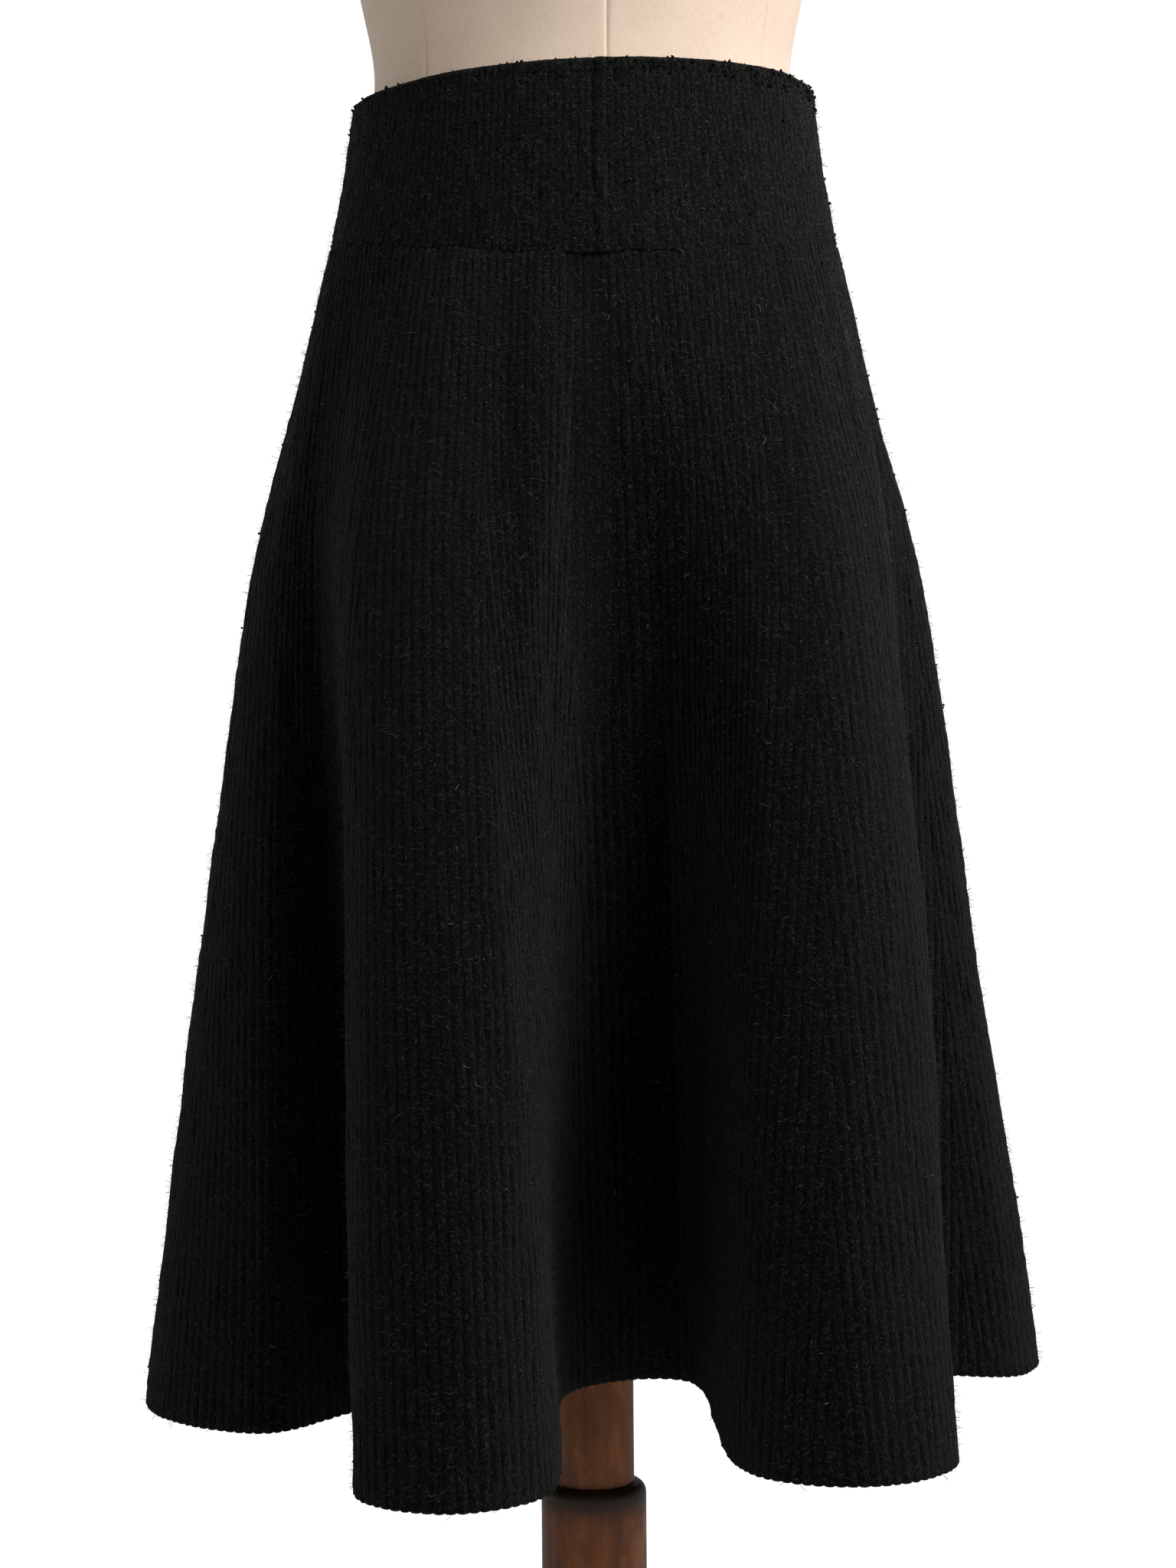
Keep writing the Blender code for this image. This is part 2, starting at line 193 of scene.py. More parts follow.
# Colours of the knit: a painted shade in its grooves, its own colour on its ribs, and its loose hair
KNIT_GROOVE_SHADE = (0.0008, 0.0009, 0.0007)
BODY_LIGHT = (0.0036, 0.0036, 0.0034)
BODY_PALE = (0.0176, 0.0175, 0.0167)
BODY_STITCHES = 1150.0
BAND_LIGHT = (0.0045, 0.0045, 0.0043)
BAND_PALE = (0.0200, 0.0199, 0.0191)
BAND_STITCHES = 180.0

# Stage
FLOOR_RADIUS = 0.72
AMBIENT = 0.32
BACKDROP = 1.05
BLACK_LEVEL = 0.0005
CAMERA_DISTANCE = 1.48
CAMERA_HEIGHT = 0.649
CAMERA_TILT = 0.476  # degrees above level
FOCAL_PIXELS = 3550
PHOTO_HEIGHT = 2048
SENSOR = 36.0

Light = namedtuple("Light", "name place target size power")
LIGHTS = (
    Light("key", (1.0, -0.62, 1.75), (0.0, 0.0, 0.95), 0.8, 29.5),
    Light("fill", (-0.9, -1.0, 1.6), (0.0, 0.0, 1.05), 1.0, 3.0),
    Light("rear", (0.5, 1.9, 1.7), (0.0, 0.0, 0.8), 1.2, 20.0),
    Light("rear_left", (-1.1, 1.5, 1.5), (0.0, 0.0, 0.7), 1.0, 7.0),
)


# Shapes shared with the solids


def seam_height(bearing):
    dip = np.where(np.cos(bearing) > 0, SEAM_SIDE - SEAM_FRONT, SEAM_SIDE - SEAM_BACK)
    return SEAM_SIDE - dip * np.cos(bearing) ** 2


def top_height(bearing):
    return TOP_FRONT + TOP_TILT * np.sin(bearing)


def oval(bearing, half_width, half_front, half_back):
    depth = np.where(np.cos(bearing) > 0, half_front, half_back)
    return np.stack([half_width * np.sin(bearing), -depth * np.cos(bearing)], axis=1)


def closed_lengths(points):
    steps = np.linalg.norm(np.roll(points, -1, axis=0) - points, axis=1)
    return np.concatenate([[0.0], np.cumsum(steps)])


def even_bearings(count=2880):
    """Bearings that are at even steps along the seam under the band."""
    bearing = np.linspace(-math.pi, math.pi, count, endpoint=False)
    seam = SECTIONS[0]
    along = closed_lengths(oval(bearing, seam.half_width, seam.half_front, seam.half_back))
    share = np.linspace(0.0, along[-1], count + 1)
    return np.interp(share, along, np.append(bearing, math.pi))


def place(bearing_degrees, reach):
    turn = math.radians(bearing_degrees)
    return np.array([math.sin(turn), -math.cos(turn)]) * reach


def hem_controls():
    points = []
    for fold in FOLDS:
        middle = place(fold.bearing, fold.reach)
        facing = math.radians(fold.facing)
        outward = np.array([math.sin(facing), -math.cos(facing)])
        across = np.array([math.cos(facing), math.sin(facing)])
        for side in (-0.5, 0.0, 0.5):
            back = abs(side) * 2 * fold.shoulder
            points.append([*(middle + side * fold.width * across - back * outward), 0.0])
        valley = place(fold.valley_bearing, fold.valley_reach)
        turn = math.radians(fold.valley_bearing)
        across = np.array([math.cos(turn), math.sin(turn)])
        for side in (-0.5, 0.5):
            points.append([*(valley + side * fold.valley_width * across), fold.lift])
    return np.array(points)


def smooth_closed(controls):
    """A smooth closed curve through the controls that doesn't overshoot between near ones."""
    count = len(controls)
    curve = []
    for i in range(count):
        p0, p1, p2, p3 = (controls[(i + k) % count] for k in (-1, 0, 1, 2))
        k1 = math.sqrt(np.linalg.norm(p1 - p0))
        k2 = k1 + math.sqrt(np.linalg.norm(p2 - p1))
        k3 = k2 + math.sqrt(np.linalg.norm(p3 - p2))
        for k in np.linspace(k1, k2, SPAN_POINTS, endpoint=False):
            a1 = (k1 - k) / k1 * p0 + k / k1 * p1
            a2 = (k2 - k) / (k2 - k1) * p1 + (k - k1) / (k2 - k1) * p2
            a3 = (k3 - k) / (k3 - k2) * p2 + (k - k2) / (k3 - k2) * p3
            b1 = (k2 - k) / k2 * a1 + k / k2 * a2
            b2 = (k3 - k) / (k3 - k1) * a2 + (k - k1) / (k3 - k1) * a3
            curve.append((k2 - k) / (k2 - k1) * b1 + (k - k1) / (k2 - k1) * b2)
    return np.array(curve)


def even_hem(count=2880):
    """The hem's curve at even steps, turned so that its folds hang from their places at the waist."""
    curve = smooth_closed(hem_controls())
    along = closed_lengths(curve[:, :2])
    closed = np.vstack([curve, curve[:1]])
    matched = along[MATCH_FOLD * CONTROLS_PER_FOLD * SPAN_POINTS]
    steps = np.linspace(0.0, 1.0, len(EVEN_BEARINGS))
    waist = np.interp(math.radians(MATCH_BEARING), EVEN_BEARINGS, steps)
    share = np.linspace(0.0, 1.0, count + 1)[:-1]
    at = (matched + (share - waist) * along[-1]) % along[-1]
    return np.stack([np.interp(at, along, closed[:, k]) for k in range(3)], axis=1)


EVEN_BEARINGS = even_bearings()
EVEN_HEM = even_hem()


def bearing_of(share):
    return np.interp(share % 1.0, np.linspace(0.0, 1.0, len(EVEN_BEARINGS)), EVEN_BEARINGS)


def hem_of(share):
    steps = np.linspace(0.0, 1.0, len(EVEN_HEM) + 1)
    closed = np.vstack([EVEN_HEM, EVEN_HEM[:1]])
    return np.stack([np.interp(share % 1.0, steps, closed[:, k]) for k in range(3)], axis=1)


def eased(at, x, y):
    """A smooth curve through a table's column, with monotone tangents."""
    x, y = np.array(x, float), np.array(y, float)
    slope = np.diff(y) / np.diff(x)
    tangent = np.zeros(len(x))
    for i in range(1, len(x) - 1):
        if slope[i - 1] * slope[i] > 0:
            tangent[i] = 2 * slope[i - 1] * slope[i] / (slope[i - 1] + slope[i])
    tangent[0], tangent[-1] = slope[0], slope[-1]
    i = np.clip(np.searchsorted(x, at, side="right") - 1, 0, len(x) - 2)
    step = x[i + 1] - x[i]
    t = (at - x[i]) / step
    return (
        (2 * t**3 - 3 * t**2 + 1) * y[i]
        + (t**3 - 2 * t**2 + t) * step * tangent[i]
        + (3 * t**2 - 2 * t**3) * y[i + 1]
        + (t**3 - t**2) * step * tangent[i + 1]
    )


def seam_wander(share):
    """How far the seam under the waistband strays up or down from its smooth line."""
    turn = 2 * math.pi * share
    wave = 0.0006 * np.sin(17 * turn + 1.0) + 0.0003 * np.sin(43 * turn + 2.6)
    return wave + 0.0001 * np.sin(118 * turn + 0.4)


def between(sections, drop):
    """The garment's plan at any share of the way down."""
    drops = [s.drop for s in sections]
    return Section(drop, *[float(eased(drop, drops, [s[k] for s in sections])) for k in range(1, 6)])


def body_outline(share, section):
    bearing = bearing_of(share)
    last = SECTIONS[-1]
    hem = hem_of(share)
    fold = hem[:, :2] - oval(bearing, last.half_width, last.half_front, last.half_back)
    plan = oval(bearing, section.half_width, section.half_front, section.half_back) + section.fold * fold
    top = seam_height(bearing) + seam_wander(share) - SEAM_LINE / 2
    height = top + (HEM + hem[:, 2] - top) * section.drop
    return plan, height


def band_outline(share, section):
    bearing = bearing_of(share)
    plan = oval(bearing, section.half_width, section.half_front, section.half_back)
    top = top_height(bearing)
    height = top + (seam_height(bearing) + seam_wander(share) + SEAM_LINE / 2 - top) * section.drop
    return plan, height


# Unevenness


def waves(seed, count, around, down, size):
    """A smooth uneven field over the cloth, as a sum of seeded waves that close round the garment."""
    rng = np.random.default_rng(seed)
    turns = rng.integers(around[0], around[1] + 1, count)
    falls = rng.uniform(down[0], down[1], count) * rng.choice((-1.0, 1.0), count)
    starts = rng.uniform(0.0, 2 * math.pi, count)

    def at(share, drop):
        total = np.zeros(np.shape(share))
        for turn, fall, start in zip(turns, falls, starts):
            total += np.sin(2 * math.pi * (turn * share + fall * drop) + start)
        return total * size * math.sqrt(2 / count)

    return at


MEDIUM_SIZE = 0.00015
SLOW = waves(11, 14, (4, 15), (0.4, 2.0), 0.0010)
MEDIUM = waves(12, 20, (26, 90), (3.0, 12.0), MEDIUM_SIZE)
WANDER = waves(13, 12, (40, 300), (2.0, 14.0), 1.0)
FELT = waves(14, 26, (180, 1400), (10.0, 70.0), 1.0)


def creases(share, drop, girth):
    total = np.zeros(len(share))
    for crease in CREASES:
        off = (share - crease.share - crease.lean * (drop - crease.drop) + 0.5) % 1.0 - 0.5
        along = (drop - crease.drop) * BODY_LENGTH / crease.length
        total += crease.depth * np.exp(-((off * girth / crease.width) ** 2)) * math.exp(-(along**2))
    return total


# Knit


def rib_profile(u):
    return np.abs(np.sin(math.pi * u)) ** RIB_ROUNDNESS


def gore_places(ribs):
    """Places across a gore in rib widths from its middle. Whole numbers are grooves, halves are tops."""
    half = ribs / 2
    reach = math.ceil(half)
    u = (np.arange(-reach, reach)[:, None] + np.array(ACROSS_RIB)[None, :]).ravel()
    u = u[np.abs(u) < half - 0.07]
    return np.concatenate([[-half], u, [half]])


def zip_rows(lower, upper):
    """Triangles between two rows of (index, match) pairs that run the same way."""
    faces = []
    i, j = 0, 0
    while i < len(lower) - 1 or j < len(upper) - 1:
        go_lower = j == len(upper) - 1 or (i < len(lower) - 1 and lower[i + 1][1] <= upper[j + 1][1])
        if go_lower:
            faces.append((lower[i][0], lower[i + 1][0], upper[j][0]))
            i += 1
        else:
            faces.append((lower[i][0], upper[j + 1][0], upper[j][0]))
            j += 1
    return faces


def girth_of(outline, section):
    plan, _ = outline(np.linspace(0.0, 1.0, 721)[:-1], section)
    return closed_lengths(plan)[-1]


def outward_of(outline, share, section):
    before, _ = outline(share - 0.0015, section)
    after, _ = outline(share + 0.0015, section)
    along = after - before
    along /= np.linalg.norm(along, axis=1, keepdims=True)
    return np.stack([along[:, 1], -along[:, 0]], axis=1)


Row = namedtuple("Row", "start share drop places per_gore", defaults=(None, 0))


def ribbed_rows(outline, sections, drops, gores, shape, shift, gap):
    """The outer side's points, row by row."""
    points, rows = [], []
    for drop, rim in drops:
        section = between(sections, drop)
        girth = girth_of(outline, section)
        places = gore_places(section.ribs)
        u = np.concatenate([np.tile(places[:-1], len(gores)), places[-1:]])
        gore = np.concatenate([np.repeat(np.array(gores), len(places) - 1), [gores[-1]]])
        share = (gore + 0.5 + u / section.ribs) / GORES + shift
        share[0] += gap / 2 / girth
        share[-1] -= gap / 2 / girth
        foot, relief, up = shape(share, drop, rim, girth, u)
        wander = RIB_WANDER * WANDER(share, drop) / (section.ribs * GORES)
        wander[0] = wander[-1] = 0.0
        at = share + wander
        plan, height = outline(at, section)
        out = foot - RIB + rib_profile(u) * relief
        plan = plan + outward_of(outline, at, section) * out[:, None]
        rows.append(Row(len(points), share, drop, places, len(places) - 1))
        points.extend(np.column_stack([plan + MIDDLE, height + up]))
    return points, rows


def rib_faces(rows, gore_count):
    """The outer side's triangles, with each corner's place across the ribs and down the garment."""
    faces, corners = [], []
    for above, below in zip(rows, rows[1:]):
        upper = [((above, k), at) for k, at in enumerate(above.places)]
        lower = [((below, k), at) for k, at in enumerate(below.places)]
        pattern = zip_rows(lower, upper)
        for gore in range(gore_count):
            for triangle in pattern:
                faces.append([row.start + gore * row.per_gore + k for row, k in triangle])
                corners.append([((gore + 0.5) * MAP_GORE + row.places[k], row.drop) for row, k in triangle])
    return faces, corners


def plain_rows(outline, sections, drops, gores, shift, start):
    """The inner side's points, without ribs, numbered on from the outer side's."""
    points, rows = [], []
    ends = gores[0] / GORES, (gores[-1] + 1) / GORES
    for drop in np.linspace(drops[0][0], drops[-1][0], INNER_ROWS):
        section = between(sections, drop)
        room = SEAM_GAP / 2 / girth_of(outline, section)
        share = np.linspace(*ends, INNER_PER_GORE * len(gores) + 1) + shift
        share[0] += room
        share[-1] -= room
        plan, height = outline(share, section)
        move = -WALL - RIB + SLOW(share, drop) * 0.8
        plan = plan + outward_of(outline, share, section) * move[:, None]
        rows.append(Row(start + len(points), share, drop))
        points.extend(np.column_stack([plan + MIDDLE, height]))
    return points, rows


def numbered(row):
    """A row's points, each with its share of the way round."""
    return [(row.start + k, share) for k, share in enumerate(row.share)]


def column(rows, at_end):
    """The first or last point of every row, each with its share of the way through the rows."""
    steps = len(rows) - 1
    return [(row.start + (len(row.share) - 1 if at_end else 0), k / steps) for k, row in enumerate(rows)]


def knit_wall(name, outline, sections, drops, gores, shape, material, shift=0.0, gap=SEAM_GAP):
    """A closed shell of rib knit across a range of gores, ribbed outside and plain inside.

    shape gives, for places in one row, how far the rib's foot is moved out, the rib's height and a move up.
    gap is left between the outer side and its neighbours, and one below 0 laps them over each other.
    """
    points, outer = ribbed_rows(outline, sections, drops, gores, shape, shift, gap)
    faces, corners = rib_faces(outer, len(gores))
    inner_points, inner = plain_rows(outline, sections, drops, gores, shift, len(points))
    points += inner_points
    plain = []
    for above, below in zip(inner, inner[1:]):
        plain += zip_rows(numbered(above), numbered(below))
    plain += zip_rows(numbered(outer[0]), numbered(inner[0]))
    plain += zip_rows(numbered(inner[-1]), numbered(outer[-1]))
    plain += zip_rows(column(outer, False), column(inner, False))
    plain += zip_rows(column(inner, True), column(outer, True))
    corners += [[(points[k][0] * INNER_MAP, points[k][2]) for k in triangle] for triangle in plain]
    return mesh_piece(name, points, faces + plain, material, corners)


def mesh_piece(name, points, faces, material, corners=None, angle=60.0):
    mesh = bpy.data.meshes.new(name)
    mesh.from_pydata([tuple(p) for p in points], [], [tuple(f) for f in faces])
    if corners is not None:
        layer = mesh.uv_layers.new(name="knit")
        layer.data.foreach_set("uv", np.array(corners, dtype=np.float32).ravel())
    mesh.materials.append(material)
    mesh.shade_smooth()
    mesh.set_sharp_from_angle(angle=math.radians(angle))
    piece = bpy.data.objects.new(name, mesh)
    bpy.context.scene.collection.objects.link(piece)
    return piece


def curled(distance):
    """How far an edge at a seam turns in, at a distance from the seam."""
    return -CURL * np.exp(-((distance / CURL_LENGTH) ** 2))


def rolled(foot, relief, rim):
    """An open edge turned in, with its ribs fading."""
    return foot - rim * RIM_TURN, relief * (1.0 - rim) ** 0.5


def bulge(rim):
    return math.sin(math.pi * min(1.0, rim * 1.1))


def body_shape(share, drop, rim, girth, u):
    ease = min(1.0, drop / 0.06)
    rib = rib_profile(u)
    foot = SLOW(share, drop) * ease + MEDIUM(share, drop) + creases(share, drop, girth)
    foot = foot + curled(drop * BODY_LENGTH)
    foot = foot + (1.0 - rib) * 0.00032 * np.maximum(0.0, FELT(share + 0.31, drop))
    relief = BODY_RELIEF * (1.0 + 0.20 * FELT(share, drop) + 0.10 * MEDIUM(share, drop) / MEDIUM_SIZE)
    foot, relief = rolled(foot, relief, rim)
    return foot, relief, -HEM_ROLL * bulge(rim) * (0.6 + 0.4 * rib)


def band_shape(share, drop, rim, girth, u):
    """The band, with its upright seam as a groove between a high uneven ridge and a low one."""
    across = (share - 0.5 - BAND_SEAM_SHIFT) * girth
    across = (across + girth / 2) % girth - girth / 2
    across = across - 0.0007 * math.sin(9.0 * drop + 1.0)
    across = across - 0.0005 * math.sin(29.0 * drop) - 0.0003 * math.sin(53.0 * drop)
    swell = 1.0 + 0.35 * math.sin(23.0 * drop + 0.7) + 0.25 * math.sin(47.0 * drop)
    ridge = 0.0013 * swell * np.exp(-(((across - 0.0032) / 0.0023) ** 2))
    ridge = ridge + 0.0005 * np.exp(-(((across + 0.0036) / 0.0024) ** 2))
    groove = -0.0010 * np.exp(-((across / 0.0013) ** 2))
    foot = 0.35 * SLOW(share, drop * 0.3) + MEDIUM(share, drop * 0.3) + ridge + groove
    foot = foot + curled((1.0 - drop) * BAND_HEIGHT)
    foot = foot + (1.0 - rib_profile(u)) * 0.00040 * np.maximum(0.0, FELT(share + 0.31, drop * 0.25))
    relief = BAND_RELIEF * (1.0 + 0.35 * FELT(share, drop * 0.25))
    foot, relief = rolled(foot, relief, rim)
    return foot, relief, np.full(len(share), TOP_ROLL * bulge(rim))


# Materials


class Nodes:
    """Short names for building a material's nodes."""

    def __init__(self, name):
        self.material = bpy.data.materials.new(name)
        self.material.use_nodes = True
        self.tree = self.material.node_tree
        self.shader = self.tree.nodes["Principled BSDF"]

    def put(self, socket, value):
        if isinstance(value, bpy.types.NodeSocket):
            self.tree.links.new(value, socket)
        else:
            socket.default_value = value

    def node(self, kind, **settings):
        node = self.tree.nodes.new(kind)
        for key, value in settings.items():
            setattr(node, key, value)
        return node

    def math(self, operation, a, b=0.0, c=0.0):
        node = self.node("ShaderNodeMath", operation=operation)
        for socket, value in zip(node.inputs, (a, b, c)):
            self.put(socket, value)
        return node.outputs[0]

    def coordinate(self, which):
        return self.node("ShaderNodeTexCoord").outputs[which]

    def mapped(self, vector, scale, turn=(0.0, 0.0, 0.0)):
        node = self.node("ShaderNodeMapping")
        self.put(node.inputs["Vector"], vector)
        node.inputs["Scale"].default_value = scale
        node.inputs["Rotation"].default_value = turn
        return node.outputs[0]

    def noise(self, vector, scale, detail=3.0, roughness=0.5, distortion=0.0):
        node = self.node("ShaderNodeTexNoise")
        self.put(node.inputs["Vector"], vector)
        node.inputs["Scale"].default_value = scale
        node.inputs["Detail"].default_value = detail
        node.inputs["Roughness"].default_value = roughness
        node.inputs["Distortion"].default_value = distortion
        return node.outputs["Fac"]

    def ramp(self, value, low, high, new_low=0.0, new_high=1.0):
        node = self.node("ShaderNodeMapRange")
        self.put(node.inputs["Value"], value)
        for key, number in (("From Min", low), ("From Max", high), ("To Min", new_low), ("To Max", new_high)):
            node.inputs[key].default_value = number
        return node.outputs["Result"]

    def mix(self, factor, a, b, blend="MIX"):
        node = self.node("ShaderNodeMix", data_type="RGBA", blend_type=blend)
        self.put(node.inputs["Factor"], factor)
        self.put(node.inputs[6], a if isinstance(a, bpy.types.NodeSocket) else (*a, 1.0))
        self.put(node.inputs[7], b if isinstance(b, bpy.types.NodeSocket) else (*b, 1.0))
        return node.outputs[2]

    def bump(self, height, distance, strength, normal=None):
        node = self.node("ShaderNodeBump")
        self.put(node.inputs["Height"], height)
        node.inputs["Distance"].default_value = distance
        node.inputs["Strength"].default_value = strength
        if normal is not None:
            self.put(node.inputs["Normal"], normal)
        return node.outputs[0]

    def finish(self, colour, normal=None, **constants):
        self.put(self.shader.inputs["Base Color"], colour)
        if normal is not None:
            self.put(self.shader.inputs["Normal"], normal)
        for key, value in constants.items():
            self.put(self.shader.inputs[key.replace("_", " ")], value)
        return self.material


def knit_material(name, dark, light, pale, rows):
    """Felted rib knit: grooves between ribs darkened with painted shade, rows of stitches across them, hair
    and a few pale flecks.
    """
    n = Nodes(name)
    split = n.node("ShaderNodeSeparateXYZ")
    n.put(split.inputs[0], n.coordinate("UV"))
    ridge = n.math("MULTIPLY", n.math("PINGPONG", split.outputs[0], 0.5), 2.0)
    where = n.coordinate("Object")
    grain = n.noise(where, 1150.0, 2.0, 0.75)
    felt = n.noise(where, 480.0, 4.0, 0.7)
    cloud = n.noise(where, 34.0, 3.0, 0.55)
    phase = n.math("MULTIPLY_ADD", ridge, 2.2, n.math("MULTIPLY", split.outputs[1], rows))
    phase = n.math("ADD", phase, n.math("MULTIPLY", felt, 9.0))
    stitch = n.math("MULTIPLY_ADD", n.math("SINE", phase), 0.5, 0.5)
    # painted shade: the colour darkens from the ribs into the grooves between them, and random felt, cloud
    # and grain tone is mixed in
    groove_shade_and_tone = n.ramp(ridge, 0.0, 0.34)
    groove_shade_and_tone = n.math("MULTIPLY", groove_shade_and_tone, n.ramp(felt, 0.36, 0.62, 0.12, 1.40))
    groove_shade_and_tone = n.math("MULTIPLY", groove_shade_and_tone, n.ramp(cloud, 0.3, 0.7, 0.78, 1.1))
    groove_shade_and_tone = n.math("MULTIPLY", groove_shade_and_tone, n.ramp(grain, 0.34, 0.66, 0.20, 1.75))
    colour = n.mix(groove_shade_and_tone, dark, light)
    haze = n.ramp(n.noise(where, 660.0, 3.0, 0.65), 0.53, 0.62)
    # the pale hair haze is made weaker in the grooves, a painted shade
    colour = n.mix(n.math("MULTIPLY", haze, n.ramp(ridge, 0.0, 0.5, 0.25, 0.9)), colour, pale)
    fleck = n.ramp(n.noise(where, 640.0, 1.0, 0.5), 0.735, 0.78)
    colour = n.mix(n.math("MULTIPLY", fleck, 0.5), colour, (0.10, 0.098, 0.092))
    height = n.math("MULTIPLY_ADD", stitch, 0.06, n.math("MULTIPLY", grain, 1.0))
    height = n.math("ADD", height, n.math("MULTIPLY", felt, 1.0))
    normal = n.bump(height, 0.0020, 1.0)
    return n.finish(
        colour,
        normal,
        Roughness=0.95,
        Specular_IOR_Level=0.08,
        Sheen_Weight=0.045,
        Sheen_Roughness=0.32,
        Sheen_Tint=(1.0, 0.98, 0.93, 1.0),
    )


def plain_material(name, colour, roughness, **more):
    """A fibre or fleck that is too small to hold detail beyond a slight change along its length."""
    n = Nodes(name)
    shade = n.noise(n.coordinate("Object"), 90.0, 2.0)
    tone = n.mix(n.ramp(shade, 0.3, 0.7), tuple(c * 0.6 for c in colour), tuple(c * 1.35 for c in colour))
    return n.finish(tone, None, Roughness=roughness, **more)


def linen_material():
    """Beige linen with a fine twill whose troughs are darkened with painted shade, slubs, soft stains and
    darker upright threads.
    """
    n = Nodes("beige_linen")
    uv = n.coordinate("UV")
    split = n.node("ShaderNodeSeparateXYZ")
    n.put(split.inputs[0], uv)
    where = n.coordinate("Object")
    wobble = n.math("MULTIPLY", n.noise(where, 160.0, 2.0), 0.0016)
    across = n.math("ADD", split.outputs[0], wobble)
    twill = n.math("SINE", n.math("MULTIPLY", n.math("ADD", across, split.outputs[1]), 6600.0))
    cross = n.math("SINE", n.math("MULTIPLY", n.math("SUBTRACT", across, split.outputs[1]), 9000.0))
    slub = n.noise(n.mapped(uv, (260.0, 1400.0, 1.0)), 1.0, 3.0, 0.6)
    slub_up = n.noise(n.mapped(uv, (1400.0, 200.0, 1.0)), 1.0, 3.0, 0.6)
    stain = n.noise(where, 9.0, 3.0, 0.6)
    colour = n.mix(n.ramp(stain, 0.3, 0.7), (0.72, 0.545, 0.415), (0.83, 0.660, 0.530))
    colour = n.mix(n.ramp(slub, 0.42, 0.78, 0.0, 0.5), colour, (0.80, 0.69, 0.58))
    colour = n.mix(n.ramp(slub_up, 0.50, 0.80, 0.0, 0.45), colour, (0.46, 0.34, 0.25))
    # painted shade: the twill's troughs, where its height is low, are darkened
    colour = n.mix(n.ramp(twill, -1.0, 0.2, 0.22, 0.0), colour, (0.42, 0.32, 0.24))
    height = n.math("MULTIPLY_ADD", twill, 0.5, n.math("MULTIPLY", cross, 0.25))
    height = n.math("ADD", height, n.math("MULTIPLY", slub, 1.2))
    normal = n.bump(height, 0.00022, 0.55)
    return n.finish(
        colour, normal, Roughness=0.88, Specular_IOR_Level=0.2, Sheen_Weight=0.12, Sheen_Roughness=0.5
    )


def wood_material():
    """Oiled brown wood with upright grain, blotches, fine pores and a dark band at the column's shoulder."""
    n = Nodes("brown_wood")
    where = n.coordinate("Object")
    split = n.node("ShaderNodeSeparateXYZ")
    n.put(split.inputs[0], where)
    streak = n.noise(n.mapped(where, (150.0, 150.0, 7.0)), 1.0, 5.0, 0.6, 0.4)
    grain = n.noise(n.mapped(where, (34.0, 34.0, 2.6)), 1.0, 4.0, 0.55, 0.8)
    blotch = n.noise(n.mapped(where, (60.0, 60.0, 30.0)), 1.0, 4.0, 0.62, 0.15)
    pores = n.noise(n.mapped(where, (1500.0, 1500.0, 90.0)), 1.0, 2.0, 0.6)
    colour = n.mix(n.ramp(grain, 0.32, 0.68), (0.110, 0.032, 0.0055), (0.300, 0.094, 0.0150))
    colour = n.mix(n.ramp(streak, 0.45, 0.72, 0.0, 0.55), colour, (0.050, 0.014, 0.004))
    colour = n.mix(n.ramp(blotch, 0.50, 0.66, 0.0, 0.75), colour, (0.075, 0.026, 0.0085))
    colour = n.mix(n.ramp(blotch, 0.46, 0.34, 0.0, 0.45), colour, (0.400, 0.130, 0.0250))
    colour = n.mix(n.ramp(pores, 0.62, 0.75, 0.0, 0.5), colour, (0.030, 0.012, 0.006))
    lower = n.ramp(split.outputs[2], 0.2625, 0.2520)
    upper = n.ramp(split.outputs[2], 0.2702, 0.2704)
    shoulder = n.math("SUBTRACT", 1.0, n.math("MAXIMUM", lower, upper))
    colour = n.mix(n.math("MULTIPLY", shoulder, 0.93), colour, (0.015, 0.0100, 0.0060))
    rough = n.ramp(blotch, 0.3, 0.7, 0.40, 0.56)
    height = n.math("MULTIPLY_ADD", streak, 0.7, n.math("MULTIPLY", pores, 0.5))
    normal = n.bump(height, 0.0003, 0.35)
    return n.finish(
        colour,
        normal,
        Roughness=rough,
        Specular_IOR_Level=0.35,
        Sheen_Weight=0.18,
        Sheen_Roughness=0.15,
        Sheen_Tint=(1.0, 0.85, 0.7, 1.0),
    )


def floor_material():
    n = Nodes("pale_floor")
    cloud = n.noise(n.coordinate("Object"), 2.0, 2.0)
    return n.finish(n.mix(cloud, (0.84, 0.84, 0.84), (0.88, 0.88, 0.88)), None, Roughness=0.9)


# Form and stand


def turn_between(bearing, seams):
    """How far each bearing is from each seam."""
    return np.abs((bearing[:, None] - seams[None, :] + math.pi) % (2 * math.pi) - math.pi)


def form_bearings(seams):
    """Bearings round the form, closer together at its seams."""
    near = (seams[:, None] + (np.array(FORM_SEAM_COLUMNS) / FORM_RADIUS)[None, :]).ravel()
    even = np.linspace(-math.pi, math.pi, FORM_COLUMNS, endpoint=False)
    even = even[turn_between(even, seams).min(axis=1) > 0.075]
    return np.sort(np.concatenate([even, (near + math.pi) % (2 * math.pi) - math.pi]))


def form_ring(bearing, seams, height):
    """One level of the form, with grooves at its seams, a slight swelling beside them and uneven padding."""
    table = [s.height for s in FORM_SECTIONS]
    sizes = [eased(height, table, [s[k] for s in FORM_SECTIONS]) for k in (1, 2, 3)]
    plan = oval(bearing, *sizes)
    off = turn_between(bearing, seams).min(axis=1) * FORM_RADIUS
    move = -FORM_SEAM_DEPTH * np.exp(-((off / 0.0008) ** 2))
    move += 0.00022 * np.exp(-(((off - 0.0026) / 0.0015) ** 2))
    move += 0.0002 * np.sin(bearing * 7.0 + height * 31.0) * np.sin(height * 57.0 + bearing * 3.0)
    unit = plan / np.linalg.norm(plan, axis=1, keepdims=True)
    return plan + unit * (np.minimum(move, 0.0002) - 0.0001)[:, None] + MIDDLE


